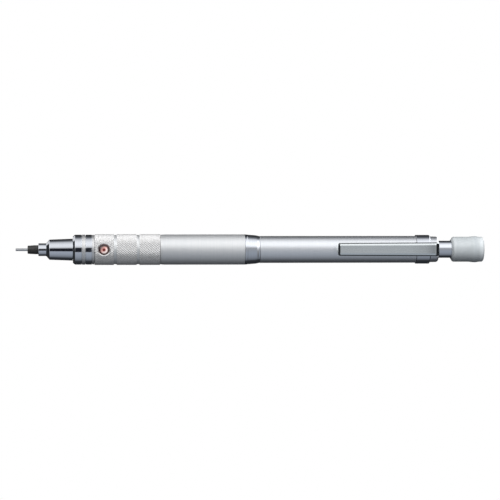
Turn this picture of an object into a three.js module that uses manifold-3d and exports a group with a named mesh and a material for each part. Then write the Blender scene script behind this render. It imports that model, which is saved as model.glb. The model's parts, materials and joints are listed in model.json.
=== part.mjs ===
import * as THREE from 'three';
import { mergeVertices } from 'three/addons/utils/BufferGeometryUtils.js';
import Module from 'manifold-3d';

// Mechanical pencil with a lead-turning mechanism, in millimetres.
// It lies along X with the writing tip towards -X and the clip and window towards +Z.
// A station is a distance behind the writing tip. A profile is a list of [station, radius].

const wasm = await Module();
wasm.setup();

// Overall
const LENGTH = 143.6;
const GAP = 0.05; // clearance between two parts that are fixed together
const RUN = 0.08; // clearance round a part that turns or slides
const FACETS = 32; // sides of an outer turned part
const FACETS_IN = 24; // sides of a turned part inside the barrel
const FACETS_FINE = 16; // sides of the smallest turned parts

// Lead and tip
const LEAD = { r: 0.28, front: 0.5, length: 60, sides: 10 };
const SLEEVE = { front: 0, rear: 9.5, r: 0.4, bore: 0.31, edge: 0.06 };
const TIP = { front: 3.66, flange: 10.65, rear: 11, rFront: 1.28, rRear: 1.42, rFlange: 2.2, edge: 0.24 };
const RETAINER = { front: 9.75, rear: 10.9, r: 0.95, bore: 0.3 };

// Nose
const NOSE = {
  front: 7,
  collarRear: 9.4,
  coneFront: 10.4,
  shoulder: 17.55,
  spigotRear: 23.6,
  rCollar: 1.95,
  rCone: 3.1,
  rShoulder: 3.37,
  rSpigot: 2.9,
  rCavity: 2.35,
  edge: 0.12,
};

// Front ring: bands of [front station, rear station, radius] with small grooves between them
const RING = { front: 17.6, rear: 24.2, rFront: 4.06, lipRear: 19, rLip: 3, rBore: 3.6, rGroove: 4.4 };
const RING_BANDS = [
  [18.26, 20.28, 4.59],
  [20.4, 21.45, 4.62],
  [21.6, 23.4, 4.59],
  [23.5, 24.2, 4.54],
];

// Grip and window
const GRIP = { front: 24.26, rear: 44.4, r: 4.735, rBore: 3.75, edge: 0.15, groove: 0.245, grooveSide: 0.15 };
const GRIP_GROOVES = [
  [30.2, 31],
  [37.25, 38],
];
const WINDOW = { station: 27.1, rHole: 1.66, rMouth: 2.1, mouthDepth: 0.3, rSight: 1.3 };
const LENS = { r: 1.61, bottom: 3.82, edge: 4.3, top: 4.66 };

// Barrels
const FRONT_BARREL = { front: 44.45, bevelRear: 45.6, rear: 70.3, rFront: 4.47, r: 4.65, rBore: 3.75 };
const JOINT = {
  front: 70.35,
  taperRear: 73.8,
  neck: 74.6,
  rear: 74.95,
  rFront: 4.64,
  rTaper: 4.36,
  rNeck: 4.17,
  rRear: 4.13,
  spigotFront: 64,
  spigotRear: 82,
  rBore: 2.85,
};
const REAR_BARREL = { front: 75, rear: 122.83, rFront: 4.13, rRear: 4.11, rBore: 3.6 };
const BAND = { front: 122.88, rear: 127.1, r: 4.41, edge: 0.15 };
const TAIL = { spigotFront: 116, front: 127.15, rear: 129.7, r: 3.9, rBore: 2.75, edge: 0.35 };
const TAB_SLOT = { front: 129.15, width: 4.6, floor: 2.6 }; // the clip's tab stands in it

// Inner sleeve: holds the turning mechanism and takes the nose thread
const INNER = { front: 19.1, step: 24.2, rFront: 3.55, r: 3.7, rBore: 3, rShoulder: 1.35 };
const SHOULDER = { front: 37.1, rear: 38.1 };

// Turning mechanism
const CAM = { r: 2.92, bore: 1.7, teeth: 20, toothHeight: 0.3 };
const FRONT_CAM = { front: 24.3, rear: 25 };
const ROTOR = { front: 25.7, rear: 28.7, r: 2.75, bore: 1.2 };
const REAR_CAM = { front: 29.7, rear: 30.4 };
const CUSHION = { front: 30.9, rear: 33, r: 2.8, bore: 1.2, rNeck: 1.9, neckRear: 34.2 };
const CUSHION_SPRING = { front: 33.35, rear: 36.8, r: 2.4, wire: 0.22, turns: 4 };

// Chuck, tank and button
const CHUCK = {
  front: 14.7,
  headRear: 16.4,
  neckFront: 17.6,
  rear: 54,
  collarFront: 53,
  rHead: 1.5,
  r: 1,
  rCollar: 1.3,
  bore: 0.31,
  jaws: 3,
  slit: 0.22,
  slitRear: 21,
};
const CHUCK_RING = { front: 15, rear: 17, r: 2.1, bore: 1.56 };
const CHUCK_SPRING = { front: 38.45, rear: 47.6, r: 1.9, wire: 0.25, turns: 6 };
const TANK_JOINT = { front: 48, flangeRear: 49.2, pocket: 52.9, rear: 57, rFlange: 2.6, rPocket: 1.42 };
const TANK = { front: 49.25, rear: 132, r: 2.3, rBore: 1.9 };
const SPARE = { front: 62, length: 60, offset: 0.95 };
const BUTTON = { front: 118, rear: 140.4, r: 2.65, rBore: 2.35 };
const ERASER = { front: 132.6, rear: 142.2, r: 2.25, edge: 0.3 };
const CAP = {
  front: 133.75,
  mouthRear: 134.25,
  bevelRear: 134.6,
  bulgeFront: 139.3,
  bulge: 141,
  bulgeHalf: 0.7,
  bulgeRear: 142.3,
  rear: LENGTH,
  rFront: 2.95,
  rMouth: 3.65,
  r: 3.83,
  rBulge: 4.01,
  rRear: 3.84,
  rEnd: 3.45,
  rBore: 2.75,
  floor: 142.7,
};

// Clip: heights are above the pencil's axis
const CLIP = {
  front: 98.5,
  bend: 99.2,
  rearBend: 127.95,
  tabFront: 129.25,
  tabRear: 129.6,
  top: 6.4,
  depth: 0.7,
  foot: 4.35,
  footLength: 0.7,
  tabBottom: 2.85,
  widthFront: 4,
  widthRear: 4.35,
  flatFront: 2.55,
  flatRear: 2.83,
};

const AXIS_HEIGHT = GRIP.r * Math.cos(Math.PI / FACETS);
const MIDDLE = LENGTH / 2;

// Materials
const SATIN = { color: 0xc9cbce, roughness: 0.38, metalness: 1 };
const POLISHED = { color: 0xd6d8dc, roughness: 0.1, metalness: 1 };
const STEEL = { color: 0xa9adb0, roughness: 0.35, metalness: 1 };
const BRASS = { color: 0xb08d4a, roughness: 0.35, metalness: 1 };
const BLACK = { color: 0x232322, roughness: 0.6, metalness: 0 };
const WHITE = { color: 0xe6e6e2, roughness: 0.5, metalness: 0 };
const ORANGE = { color: 0xc2452a, roughness: 0.45, metalness: 0 };
const GRAPHITE = { color: 0x3a3a3d, roughness: 0.5, metalness: 0.2 };
const CLEAR = { color: 0xe2c3bf, roughness: 0.08, metalness: 0, transparent: true, opacity: 0.45 };
const FROSTED = { color: 0xd9dedf, roughness: 0.3, metalness: 0, transparent: true, opacity: 0.85 };

/** Revolves a profile about the pencil's axis, with a flat side facing straight up. */
function revolve(profile, facets) {
  const outline = profile.map(([station, radius]) => new THREE.Vector2(radius, station));
  const geometry = new THREE.LatheGeometry(outline, facets, Math.PI / facets);
  geometry.rotateZ(-Math.PI / 2);
  return geometry;
}

/** A hollow turned part. Both walls are given from front to rear. */
function tube(outer, inner, facets = FACETS) {
  const innerBack = [...inner].reverse();
  return revolve([...outer, ...innerBack, outer[0]], facets);
}

/** A plain ring or sleeve with square ends. */
function sleeve(front, rear, radius, bore, facets = FACETS_IN) {
  return tube([[front, radius], [rear, radius]], [[front, bore], [rear, bore]], facets);
}

/** A solid turned part that closes on the axis at both ends. */
function rod(outer, facets = FACETS_IN) {
  const front = outer[0][0];
  const rear = outer[outer.length - 1][0];
  return revolve([[front, 0], ...outer, [rear, 0]], facets);
}

/** Changes a closed geometry into a solid for add, subtract and intersect. */
function toSolid(geometry) {
  const bare = geometry.clone();
  bare.deleteAttribute('normal');
  bare.deleteAttribute('uv');
  const merged = mergeVertices(bare, 1e-4);
  return new wasm.Manifold(new wasm.Mesh({
    numProp: 3,
    vertProperties: new Float32Array(merged.attributes.position.array),
    triVerts: new Uint32Array(merged.index.array),
  }));
}

/** Changes a solid back into a geometry. */
function toGeometry(solid) {
  const mesh = solid.getMesh();
  const geometry = new THREE.BufferGeometry();
  geometry.setAttribute('position', new THREE.BufferAttribute(new Float32Array(mesh.vertProperties), 3));
  geometry.setIndex(new THREE.BufferAttribute(new Uint32Array(mesh.triVerts), 1));
  geometry.computeVertexNormals();
  return geometry;
}

/** A block placed by its centre. */
function block(sizeX, sizeY, sizeZ, x, y, z) {
  return new THREE.BoxGeometry(sizeX, sizeY, sizeZ).translate(x, y, z);
}

/** A round cutter that points up from the axis at the window. */
function windowCutter(rTop, rBottom, top, bottom) {
  const cutter = new THREE.CylinderGeometry(rTop, rBottom, top - bottom, FACETS_IN);
  cutter.rotateX(Math.PI / 2);
  cutter.translate(WINDOW.station, 0, (top + bottom) / 2);
  return toSolid(cutter);
}

/** A coil round the pencil's axis. */
class Coil extends THREE.Curve {
  constructor({ front, rear, r, turns }) {
    super();
    this.front = front;
    this.rear = rear;
    this.r = r;
    this.turns = turns;
  }

  getPoint(t, target = new THREE.Vector3()) {
    const angle = t * this.turns * 2 * Math.PI;
    const x = this.front + t * (this.rear - this.front);
    return target.set(x, this.r * Math.cos(angle), this.r * Math.sin(angle));
  }
}

/** A coil spring of round wire. */
function spring(size) {
  const wireSides = 6;
  const stepsPerTurn = 16;
  const section = [];
  for (let i = 0; i < wireSides; i += 1) {
    const angle = (i / wireSides) * 2 * Math.PI;
    section.push(new THREE.Vector2(size.wire * Math.cos(angle), size.wire * Math.sin(angle)));
  }
  return new THREE.ExtrudeGeometry(new THREE.Shape(section), {
    steps: size.turns * stepsPerTurn,
    extrudePath: new Coil(size),
    bevelEnabled: false,
  });
}

/** Saw teeth on a ring's face. side is +1 for teeth that point to the rear and -1 to the front. */
function faceTeeth(station, side, rIn, rOut) {
  const pitchAngle = (2 * Math.PI) / CAM.teeth;
  const halfWidth = (pitchAngle * (rIn + rOut)) / 4;
  const sunk = 0.1;
  const outline = new THREE.Shape([
    new THREE.Vector2(-halfWidth, -sunk),
    new THREE.Vector2(halfWidth, -sunk),
    new THREE.Vector2(halfWidth * 0.8, CAM.toothHeight),
  ]);
  const teeth = [];
  for (let i = 0; i < CAM.teeth; i += 1) {
    const tooth = new THREE.ExtrudeGeometry(outline, { depth: rOut - rIn, bevelEnabled: false });
    tooth.translate(0, 0, rIn);
    tooth.rotateZ(-side * Math.PI / 2);
    tooth.rotateX(i * pitchAngle);
    tooth.translate(station, 0, 0);
    teeth.push(toSolid(tooth));
  }
  return wasm.Manifold.union(teeth);
}

function leadSleeve() {
  const { front, rear, r, bore, edge } = SLEEVE;
  const outer = [[front, r - edge], [front + edge, r], [rear, r]];
  return tube(outer, [[front, bore], [rear, bore]], FACETS_FINE);
}

function tipSlider() {
  const { front, flange, rear, rFront, rRear, rFlange, edge } = TIP;
  const sleeveBore = SLEEVE.r + GAP;
  const pocket = RETAINER.r + GAP;
  const pocketFront = RETAINER.front - GAP;
  const outer = [
    [front, rFront - edge],
    [front + edge / 3, rFront - edge / 3],
    [front + edge, rFront],
    [NOSE.front, rRear],
    [flange, rRear],
    [flange, rFlange],
    [rear, rFlange],
  ];
  const inner = [[front, sleeveBore], [pocketFront, sleeveBore], [pocketFront, pocket], [rear, pocket]];
  return tube(outer, inner, FACETS_IN);
}

function leadRetainer() {
  const { front, rear, r, bore } = RETAINER;
  return sleeve(front, rear, r, bore, FACETS_FINE);
}

function noseCone() {
  const tipBore = TIP.rRear + RUN;
  const floor = TIP.flange - GAP;
  const outer = [
    [NOSE.front, NOSE.rCollar - NOSE.edge],
    [NOSE.front + NOSE.edge, NOSE.rCollar],
    [NOSE.collarRear, NOSE.rCollar],
    [NOSE.coneFront, NOSE.rCone],
    [NOSE.shoulder, NOSE.rShoulder],
    [NOSE.shoulder, NOSE.rSpigot],
    [NOSE.spigotRear, NOSE.rSpigot],
  ];
  const inner = [
    [NOSE.front, tipBore],
    [floor, tipBore],
    [floor, NOSE.rCavity],
    [NOSE.spigotRear, NOSE.rCavity],
  ];
  return tube(outer, inner);
}

function frontRing() {
  const outer = [[RING.front, RING.rFront]];
  for (const [front, rear, radius] of RING_BANDS) {
    if (outer.length > 1) {
      outer.push([front, RING.rGroove]);
    }
    outer.push([front, radius]);
    outer.push([rear, radius]);
    if (rear < RING.rear) {
      outer.push([rear, RING.rGroove]);
    }
  }
  const inner = [
    [RING.front, RING.rLip],
    [RING.lipRear, RING.rLip],
    [RING.lipRear, RING.rBore],
    [RING.rear, RING.rBore],
  ];
  return tube(outer, inner);
}

function gripSleeve() {
  const { front, rear, r, rBore, edge, groove, grooveSide } = GRIP;
  const outer = [[front, r - edge], [front + edge, r]];
  for (const [grooveFront, grooveRear] of GRIP_GROOVES) {
    outer.push([grooveFront - grooveSide, r]);
    outer.push([grooveFront, r - groove]);
    outer.push([grooveRear, r - groove]);
    outer.push([grooveRear + grooveSide, r]);
  }
  outer.push([rear - edge, r]);
  outer.push([rear, r - edge]);
  const body = toSolid(tube(outer, [[front, rBore], [rear, rBore]]));
  const hole = windowCutter(WINDOW.rHole, WINDOW.rHole, r + 1, rBore / 2);
  const slope = (WINDOW.rMouth - WINDOW.rHole) / WINDOW.mouthDepth;
  const mouthTop = r + WINDOW.mouthDepth;
  const mouthBottom = r - WINDOW.mouthDepth;
  const rTop = WINDOW.rHole + slope * (mouthTop - mouthBottom);
  const mouth = windowCutter(rTop, WINDOW.rHole, mouthTop, mouthBottom);
  return toGeometry(body.subtract(hole).subtract(mouth));
}

function windowLens() {
  const { r, bottom, edge, top } = LENS;
  const dome = [
    [0, bottom],
    [r, bottom],
    [r, edge],
    [r * 0.82, edge + (top - edge) * 0.45],
    [r * 0.45, edge + (top - edge) * 0.86],
    [0, top],
  ];
  const outline = dome.map(([radius, height]) => new THREE.Vector2(radius, height));
  const lens = new THREE.LatheGeometry(outline, FACETS_IN);
  lens.rotateX(Math.PI / 2);
  return lens.translate(WINDOW.station, 0, 0);
}

function innerSleeve() {
  const rear = JOINT.spigotFront - GAP;
  const outer = [
    [INNER.front, INNER.rFront],
    [INNER.step, INNER.rFront],
    [INNER.step, INNER.r],
    [rear, INNER.r],
  ];
  const inner = [
    [INNER.front, INNER.rBore],
    [SHOULDER.front, INNER.rBore],
    [SHOULDER.front, INNER.rShoulder],
    [SHOULDER.rear, INNER.rShoulder],
    [SHOULDER.rear, INNER.rBore],
    [rear, INNER.rBore],
  ];
  const body = toSolid(tube(outer, inner, FACETS_IN));
  const sight = windowCutter(WINDOW.rSight, WINDOW.rSight, INNER.r + 1, INNER.rBore / 2);
  return toGeometry(body.subtract(sight));
}

function frontCamRing() {
  const body = toSolid(sleeve(FRONT_CAM.front, FRONT_CAM.rear, CAM.r, CAM.bore));
  return toGeometry(body.add(faceTeeth(FRONT_CAM.rear, 1, CAM.bore + 0.1, CAM.r - 0.2)));
}

function rearCamRing() {
  const body = toSolid(sleeve(REAR_CAM.front, REAR_CAM.rear, CAM.r, CAM.bore));
  return toGeometry(body.add(faceTeeth(REAR_CAM.front, -1, CAM.bore + 0.1, CAM.r - 0.2)));
}

function rotor() {
  const body = toSolid(sleeve(ROTOR.front, ROTOR.rear, ROTOR.r, ROTOR.bore));
  const frontTeeth = faceTeeth(ROTOR.front, -1, CAM.bore, CAM.r - 0.3);
  const rearTeeth = faceTeeth(ROTOR.rear, 1, CAM.bore, CAM.r - 0.3);
  return toGeometry(body.add(frontTeeth).add(rearTeeth));
}

function cushionSlider() {
  const { front, rear, r, bore, rNeck, neckRear } = CUSHION;
  const outer = [[front, r], [rear, r], [rear, rNeck], [neckRear, rNeck]];
  return tube(outer, [[front, bore], [neckRear, bore]], FACETS_IN);
}

function chuck() {
  const outer = [
    [CHUCK.front, CHUCK.rHead - 0.25],
    [CHUCK.front + 0.2, CHUCK.rHead],
    [CHUCK.headRear, CHUCK.rHead],
    [CHUCK.neckFront, CHUCK.r],
    [CHUCK.collarFront, CHUCK.r],
    [CHUCK.collarFront, CHUCK.rCollar],
    [CHUCK.rear, CHUCK.rCollar],
  ];
  let body = toSolid(tube(outer, [[CHUCK.front, CHUCK.bore], [CHUCK.rear, CHUCK.bore]], FACETS_IN));
  const overrun = 0.5;
  const length = CHUCK.slitRear - CHUCK.front + overrun;
  for (let i = 0; i < CHUCK.jaws; i += 1) {
    const slit = block(length, CHUCK.slit, CHUCK.rHead + overrun, 0, 0, (CHUCK.rHead + overrun) / 2);
    slit.rotateX((i * 2 * Math.PI) / CHUCK.jaws);
    slit.translate(CHUCK.slitRear - length / 2, 0, 0);
    body = body.subtract(toSolid(slit));
  }
  return toGeometry(body);
}

function chuckRing() {
  return sleeve(CHUCK_RING.front, CHUCK_RING.rear, CHUCK_RING.r, CHUCK_RING.bore);
}

function frontBarrel() {
  const { front, bevelRear, rear, rFront, r, rBore } = FRONT_BARREL;
  const outer = [[front, rFront], [bevelRear, r], [rear, r]];
  return tube(outer, [[front, rBore], [rear, rBore]]);
}

function jointRing() {
  const rFrontSpigot = FRONT_BARREL.rBore - GAP;
  const rRearSpigot = REAR_BARREL.rBore - GAP;
  const outer = [
    [JOINT.spigotFront, rFrontSpigot],
    [JOINT.front, rFrontSpigot],
    [JOINT.front, JOINT.rFront],
    [JOINT.taperRear, JOINT.rTaper],
    [JOINT.neck, JOINT.rNeck],
    [JOINT.rear, JOINT.rRear],
    [JOINT.rear, rRearSpigot],
    [JOINT.spigotRear, rRearSpigot],
  ];
  return tube(outer, [[JOINT.spigotFront, JOINT.rBore], [JOINT.spigotRear, JOINT.rBore]]);
}

function rearBarrel() {
  const { front, rear, rFront, rRear, rBore } = REAR_BARREL;
  return tube([[front, rFront], [rear, rRear]], [[front, rBore], [rear, rBore]]);
}

function clipBand() {
  const { front, rear, r, edge } = BAND;
  const outer = [[front, r - edge], [front + edge, r], [rear - edge, r], [rear, r - edge]];
  return tube(outer, [[front, REAR_BARREL.rBore], [rear, REAR_BARREL.rBore]]);
}

function tailPlug() {
  const { spigotFront, front, rear, r, rBore, edge } = TAIL;
  const rSpigot = REAR_BARREL.rBore - GAP;
  const outer = [
    [spigotFront, rSpigot],
    [front, rSpigot],
    [front, r],
    [rear - edge, r],
    [rear - edge / 3, r - edge / 3],
    [rear, r - edge],
  ];
  const body = toSolid(tube(outer, [[spigotFront, rBore], [rear, rBore]]));
  const length = rear - TAB_SLOT.front + 1;
  const slot = block(length, TAB_SLOT.width, r, TAB_SLOT.front + length / 2, 0, TAB_SLOT.floor + r / 2);
  return toGeometry(body.subtract(toSolid(slot)));
}

/** The clip seen from the side, as [station, height above the axis]. */
function clipSideOutline() {
  const under = CLIP.top - CLIP.depth;
  return [
    [CLIP.front, CLIP.foot],
    [CLIP.front + CLIP.footLength, CLIP.foot],
    [CLIP.front + CLIP.footLength + 0.2, under - 0.5],
    [CLIP.bend + 0.4, under],
    [CLIP.rearBend, under],
    [CLIP.tabFront - 0.8, under - 0.3],
    [CLIP.tabFront - 0.2, under - 1],
    [CLIP.tabFront, under - 1.6],
    [CLIP.tabFront, CLIP.tabBottom],
    [CLIP.tabRear, CLIP.tabBottom],
    [CLIP.tabRear, CLIP.top - 1.9],
    [CLIP.tabRear - 0.3, CLIP.top - 1.2],
    [CLIP.tabRear - 0.9, CLIP.top - 0.5],
    [CLIP.rearBend + 0.2, CLIP.top],
    [CLIP.bend, CLIP.top],
    [CLIP.front + 0.3, CLIP.top - 0.4],
    [CLIP.front, CLIP.top - 0.9],
  ];
}

/** A tapering strap outline seen from above, extruded upwards from the given height. */
function clipPlan(widthFront, widthRear, bottom, top) {
  const margin = 0.5;
  const front = CLIP.front - margin;
  const rear = CLIP.tabRear + margin;
  const plan = new THREE.ExtrudeGeometry(new THREE.Shape([
    new THREE.Vector2(front, -widthFront / 2),
    new THREE.Vector2(rear, -widthRear / 2),
    new THREE.Vector2(rear, widthRear / 2),
    new THREE.Vector2(front, widthFront / 2),
  ]), { depth: top - bottom, bevelEnabled: false });
  return toSolid(plan.translate(0, 0, bottom));
}

/** The long cutter that bevels one upper edge of the strap. side is +1 or -1 in Y. */
function clipBevel(side) {
  const run = CLIP.tabRear - CLIP.front;
  const inset = (CLIP.widthFront - CLIP.flatFront) / 2;
  const slope = Math.atan2(CLIP.depth * 0.8, inset);
  const taper = Math.atan2((CLIP.flatRear - CLIP.flatFront) / 2, run);
  const size = 3;
  const cutter = block(run + size, size, size, 0, (side * size) / 2, size / 2);
  cutter.rotateX(-side * slope);
  cutter.rotateZ(side * taper);
  const middleFlat = (CLIP.flatFront + CLIP.flatRear) / 4;
  cutter.translate((CLIP.front + CLIP.tabRear) / 2, side * middleFlat, CLIP.top);
  return toSolid(cutter);
}

function clip() {
  const outline = clipSideOutline().map(([station, height]) => new THREE.Vector2(station, height));
  const shape = new THREE.Shape(outline);
  const side = new THREE.ExtrudeGeometry(shape, { depth: CLIP.widthRear + 1, bevelEnabled: false });
  side.translate(0, 0, -(CLIP.widthRear + 1) / 2);
  side.rotateX(Math.PI / 2);
  const strap = toSolid(side).intersect(clipPlan(CLIP.widthFront, CLIP.widthRear, 0, CLIP.top + 1));
  return toGeometry(strap.subtract(clipBevel(1)).subtract(clipBevel(-1)));
}

function tankJoint() {
  const { front, flangeRear, pocket, rear, rFlange, rPocket } = TANK_JOINT;
  const rSpigot = TANK.rBore - GAP;
  const shankBore = CHUCK.r + RUN;
  const outer = [[front, rFlange], [flangeRear, rFlange], [flangeRear, rSpigot], [rear, rSpigot]];
  const inner = [[front, shankBore], [pocket, shankBore], [pocket, rPocket], [rear, rPocket]];
  return tube(outer, inner, FACETS_IN);
}

function leadTank() {
  return sleeve(TANK.front, TANK.rear, TANK.r, TANK.rBore);
}

/** A stored or working lead, moved sideways off the axis when it is a stored one. */
function leadStick(front, length, offset) {
  const stick = rod([[front, LEAD.r], [front + length, LEAD.r]], LEAD.sides);
  return stick.translate(0, offset, 0);
}

function buttonTube() {
  return sleeve(BUTTON.front, BUTTON.rear, BUTTON.r, BUTTON.rBore);
}

function eraser() {
  const { front, rear, r, edge } = ERASER;
  return rod([[front, r - edge], [front + edge, r], [rear - edge, r], [rear, r - edge]]);
}

function pushCap() {
  const outer = [
    [CAP.front, CAP.rFront],
    [CAP.mouthRear, CAP.rMouth],
    [CAP.bevelRear, CAP.r],
    [CAP.bulgeFront, CAP.r],
    [CAP.bulge - CAP.bulgeHalf, CAP.rBulge - 0.04],
    [CAP.bulge, CAP.rBulge],
    [CAP.bulge + CAP.bulgeHalf, CAP.rBulge - 0.04],
    [CAP.bulgeRear, CAP.rRear],
    [CAP.rear - 0.3, CAP.rRear - 0.08],
    [CAP.rear, CAP.rEnd],
    [CAP.rear, 0],
  ];
  const inner = [
    [CAP.front, CAP.rBore],
    [CAP.floor, CAP.rBore],
    [CAP.floor, 0],
  ];
  return revolve([...inner.reverse(), ...outer], FACETS);
}

/** Names a part, gives it its own material and adds it to the pencil. */
function addPart(pencil, name, geometry, finish) {
  const mesh = new THREE.Mesh(geometry, new THREE.MeshStandardMaterial({ ...finish, name }));
  mesh.name = name;
  mesh.position.set(-MIDDLE, 0, AXIS_HEIGHT);
  pencil.add(mesh);
}

function buildPencil() {
  const pencil = new THREE.Group();
  pencil.name = 'mechanical_pencil';
  addPart(pencil, 'lead_sleeve', leadSleeve(), STEEL);
  addPart(pencil, 'tip_slider', tipSlider(), BLACK);
  addPart(pencil, 'lead_retainer', leadRetainer(), BLACK);
  addPart(pencil, 'nose_cone', noseCone(), POLISHED);
  addPart(pencil, 'front_ring', frontRing(), POLISHED);
  addPart(pencil, 'grip_sleeve', gripSleeve(), SATIN);
  addPart(pencil, 'window_lens', windowLens(), CLEAR);
  addPart(pencil, 'inner_sleeve', innerSleeve(), WHITE);
  addPart(pencil, 'front_cam_ring', frontCamRing(), WHITE);
  addPart(pencil, 'rotor', rotor(), ORANGE);
  addPart(pencil, 'rear_cam_ring', rearCamRing(), WHITE);
  addPart(pencil, 'cushion_slider', cushionSlider(), WHITE);
  addPart(pencil, 'cushion_spring', spring(CUSHION_SPRING), STEEL);
  addPart(pencil, 'chuck', chuck(), BRASS);
  addPart(pencil, 'chuck_ring', chuckRing(), BRASS);
  addPart(pencil, 'chuck_spring', spring(CHUCK_SPRING), STEEL);
  addPart(pencil, 'tank_joint', tankJoint(), BLACK);
  addPart(pencil, 'lead_tank', leadTank(), WHITE);
  addPart(pencil, 'lead', leadStick(LEAD.front, LEAD.length, 0), GRAPHITE);
  addPart(pencil, 'spare_lead_1', leadStick(SPARE.front, SPARE.length, SPARE.offset), GRAPHITE);
  addPart(pencil, 'spare_lead_2', leadStick(SPARE.front, SPARE.length, -SPARE.offset), GRAPHITE);
  addPart(pencil, 'front_barrel', frontBarrel(), SATIN);
  addPart(pencil, 'joint_ring', jointRing(), POLISHED);
  addPart(pencil, 'rear_barrel', rearBarrel(), SATIN);
  addPart(pencil, 'clip_band', clipBand(), POLISHED);
  addPart(pencil, 'clip', clip(), STEEL);
  addPart(pencil, 'tail_plug', tailPlug(), POLISHED);
  addPart(pencil, 'button_tube', buttonTube(), POLISHED);
  addPart(pencil, 'eraser', eraser(), WHITE);
  addPart(pencil, 'push_cap', pushCap(), FROSTED);
  return pencil;
}

export default buildPencil();
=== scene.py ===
"""Looks of a mechanical pencil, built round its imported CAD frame.

The pencil lies along X with its tip towards -X and its clip and window up. Profiles are in millimetres:
a station is a distance behind the writing tip, and a radius is measured from the pencil's axis.
"""
import json
import math

import bmesh
import bpy
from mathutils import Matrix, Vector, noise


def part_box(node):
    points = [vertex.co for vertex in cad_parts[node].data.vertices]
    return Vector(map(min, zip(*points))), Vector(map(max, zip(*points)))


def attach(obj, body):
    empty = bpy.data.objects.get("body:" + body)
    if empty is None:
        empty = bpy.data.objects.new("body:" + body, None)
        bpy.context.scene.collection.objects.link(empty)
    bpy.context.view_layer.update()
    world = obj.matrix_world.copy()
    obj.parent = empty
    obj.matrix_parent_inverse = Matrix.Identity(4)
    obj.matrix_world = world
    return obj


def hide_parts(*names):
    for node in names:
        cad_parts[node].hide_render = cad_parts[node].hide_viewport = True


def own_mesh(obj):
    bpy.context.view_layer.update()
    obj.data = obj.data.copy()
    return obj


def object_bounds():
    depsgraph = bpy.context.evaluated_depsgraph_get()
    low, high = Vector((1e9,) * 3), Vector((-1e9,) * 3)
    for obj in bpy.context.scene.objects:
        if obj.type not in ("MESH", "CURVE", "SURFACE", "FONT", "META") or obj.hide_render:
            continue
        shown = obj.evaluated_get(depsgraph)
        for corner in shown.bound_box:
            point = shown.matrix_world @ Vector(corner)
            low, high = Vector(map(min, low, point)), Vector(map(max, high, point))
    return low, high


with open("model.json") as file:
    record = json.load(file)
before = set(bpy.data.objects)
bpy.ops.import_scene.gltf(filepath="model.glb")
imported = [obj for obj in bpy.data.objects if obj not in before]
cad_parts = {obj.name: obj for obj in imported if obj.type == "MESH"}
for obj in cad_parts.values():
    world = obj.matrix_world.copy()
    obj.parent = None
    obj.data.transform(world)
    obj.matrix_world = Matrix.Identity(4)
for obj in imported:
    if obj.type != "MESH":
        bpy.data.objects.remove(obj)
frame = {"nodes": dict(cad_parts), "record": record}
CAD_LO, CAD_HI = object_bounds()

MM = 0.001
AXIS_Z = sum(corner.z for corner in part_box("rear_barrel")) / 2
LENS_R = 1.64
SLOT_OF = {part["node"]: part["material_slot"] for part in frame["record"]["subparts"]}
# Nodes whose finish differs from their slot's.
FINISH_OF = {"rear_barrel": "fine_satin", "tail_plug": "fine_satin"}


# ---------------------------------------------------------------- materials

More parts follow.
